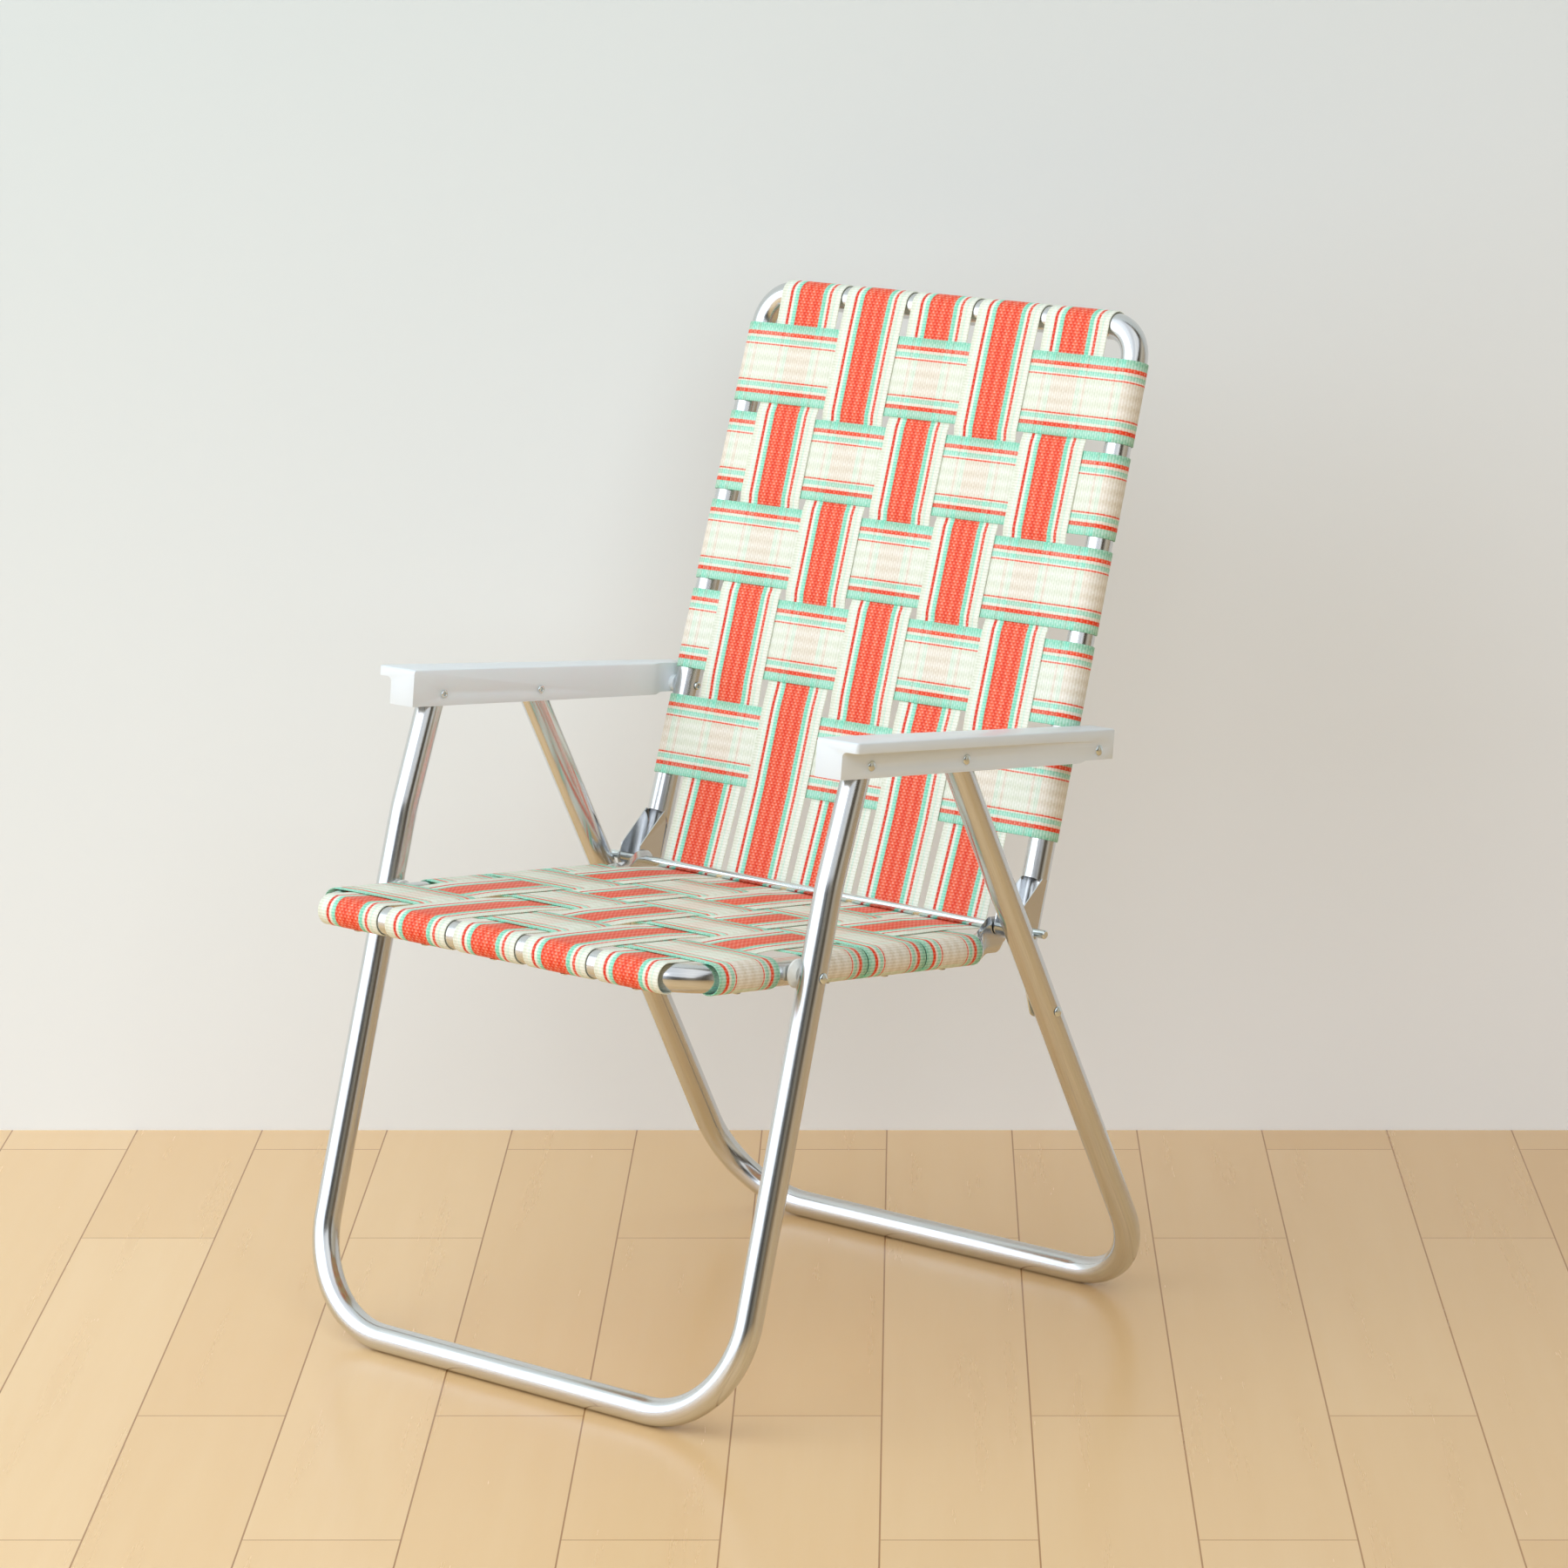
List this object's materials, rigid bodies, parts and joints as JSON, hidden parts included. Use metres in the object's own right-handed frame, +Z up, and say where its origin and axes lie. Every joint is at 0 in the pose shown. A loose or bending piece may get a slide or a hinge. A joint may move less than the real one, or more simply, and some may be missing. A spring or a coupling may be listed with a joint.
{
  "type": "folding webbed lawn chair",
  "caption": "Folding lawn chair with bent aluminium tube frames, woven web straps on seat and back, and moulded armrests; it folds flat by one linkage.",
  "frame": {"origin": "on the floor under the middle of the open chair's bounding box", "axes": "+Z up, the sitter faces -Y, +X is the sitter's left"},
  "size_m": [0.5924, 0.6526, 0.9332],
  "materials": {
    "aluminium_tube": "polished drawn tube",
    "zinc_steel": "bright zinc plated",
    "armrest_plastic": "satin moulded white",
    "nylon": "moulded, natural white",
    "long_webbing": "woven tape, red-orange band with mint and cream edges",
    "cross_webbing": "woven tape, cream with mint and red edge stripes"
  },
  "bodies": {
    "front_legs": {"front_leg_frame": "aluminium_tube", "seat_pivot_rivet_left": "zinc_steel", "seat_pivot_rivet_right": "zinc_steel", "seat_pivot_spacer_left": "nylon", "seat_pivot_spacer_right": "nylon"},
    "seat": {"seat_frame": "aluminium_tube", "cross_rod": "zinc_steel", "seat_long_web_1": "long_webbing", "seat_long_web_2": "long_webbing", "seat_long_web_3": "long_webbing", "seat_long_web_4": "long_webbing", "seat_long_web_5": "long_webbing", "seat_cross_web_1": "cross_webbing", "seat_cross_web_2": "cross_webbing", "seat_cross_web_3": "cross_webbing", "seat_cross_web_4": "cross_webbing"},
    "back": {"back_frame": "aluminium_tube", "back_long_web_1": "long_webbing", "back_long_web_2": "long_webbing", "back_long_web_3": "long_webbing", "back_long_web_4": "long_webbing", "back_long_web_5": "long_webbing", "back_cross_web_1": "cross_webbing", "back_cross_web_2": "cross_webbing", "back_cross_web_3": "cross_webbing", "back_cross_web_4": "cross_webbing", "back_cross_web_5": "cross_webbing", "back_rivet_inner_left": "zinc_steel", "back_rivet_inner_right": "zinc_steel"},
    "armrests": {"armrest_left": "armrest_plastic", "armrest_right": "armrest_plastic", "arm_front_rivet_left": "zinc_steel", "arm_front_rivet_right": "zinc_steel", "arm_rear_rivet_left": "zinc_steel", "arm_rear_rivet_right": "zinc_steel", "back_rivet_outer_left": "zinc_steel", "back_rivet_outer_right": "zinc_steel"},
    "rear_legs": {"rear_leg_frame": "aluminium_tube", "link_rivet_outer_left": "zinc_steel", "link_rivet_outer_right": "zinc_steel"},
    "links": {"link_left": "zinc_steel", "link_right": "zinc_steel", "link_rivet_inner_left": "zinc_steel", "link_rivet_inner_right": "zinc_steel"}
  },
  "joints": [
    {"name": "seat_fold", "type": "hinge", "parent": "front_legs", "child": "seat", "pos_m": [0, -0.18569, 0.3995], "axis": [-1, 0, 0], "range_deg": [0, 90.93]},
    {"name": "armrest_front_pivot", "type": "hinge", "parent": "front_legs", "child": "armrests", "pos_m": [0, -0.12421, 0.5792], "axis": [-1, 0, 0], "range_deg": [0, 86.52]},
    {"name": "rear_leg_pivot", "type": "hinge", "parent": "armrests", "child": "rear_legs", "pos_m": [0, 0.00442, 0.56573], "axis": [1, 0, 0], "range_deg": [0, 41.66]},
    {"name": "back_rod_pivot", "type": "hinge", "parent": "seat", "child": "back", "pos_m": [0, 0.11717, 0.386], "axis": [1, 0, 0], "range_deg": [0, 94.23]},
    {"name": "link_rod_pivot", "type": "hinge", "parent": "seat", "child": "links", "pos_m": [0, 0.11717, 0.386], "axis": [-1, 0, 0], "range_deg": [0, 95.66]}
  ],
  "couplings": [
    {"joint": "armrest_front_pivot", "follows": "seat_fold", "ratio": 0.95127},
    {"joint": "rear_leg_pivot", "follows": "seat_fold", "ratio": 0.45791},
    {"joint": "back_rod_pivot", "follows": "seat_fold", "ratio": 1.0361},
    {"joint": "link_rod_pivot", "follows": "seat_fold", "ratio": 1.0518}
  ]
}
